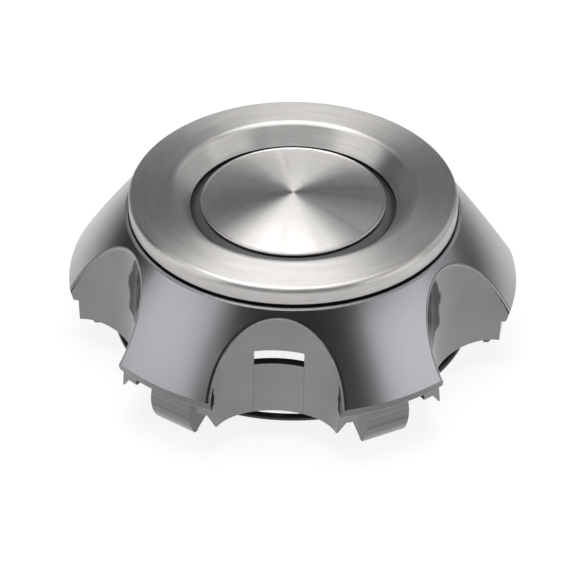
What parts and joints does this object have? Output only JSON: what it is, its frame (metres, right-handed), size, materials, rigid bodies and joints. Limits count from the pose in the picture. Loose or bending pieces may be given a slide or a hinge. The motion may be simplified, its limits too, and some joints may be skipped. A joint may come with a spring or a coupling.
{
  "type": "wheel centre cap",
  "caption": "Wheel centre cap: flared skirt cut by round lug pockets, raised brushed trim ring around a domed disc, clip tabs and a spring wire below.",
  "frame": {"origin": "on the wheel axis at the level of the clip feet", "axes": "+Z outwards from the wheel, -Y through the middle of a lug pocket"},
  "size_m": [0.1362, 0.1306, 0.0494],
  "materials": {
    "cap_body": "graphite metallic paint over moulded plastic",
    "foam_tape": "matte black foam tape",
    "brushed_ring": "brushed around the axis",
    "brushed_disc": "spun finish",
    "black_wire": "satin black coating"
  },
  "bodies": {
    "root": {"cap_body": "cap_body", "clip_tabs": "cap_body", "ring_tape": "foam_tape", "trim_ring": "brushed_ring", "disc_tape": "foam_tape", "centre_disc": "brushed_disc", "spring_wire": "black_wire"}
  },
  "joints": []
}
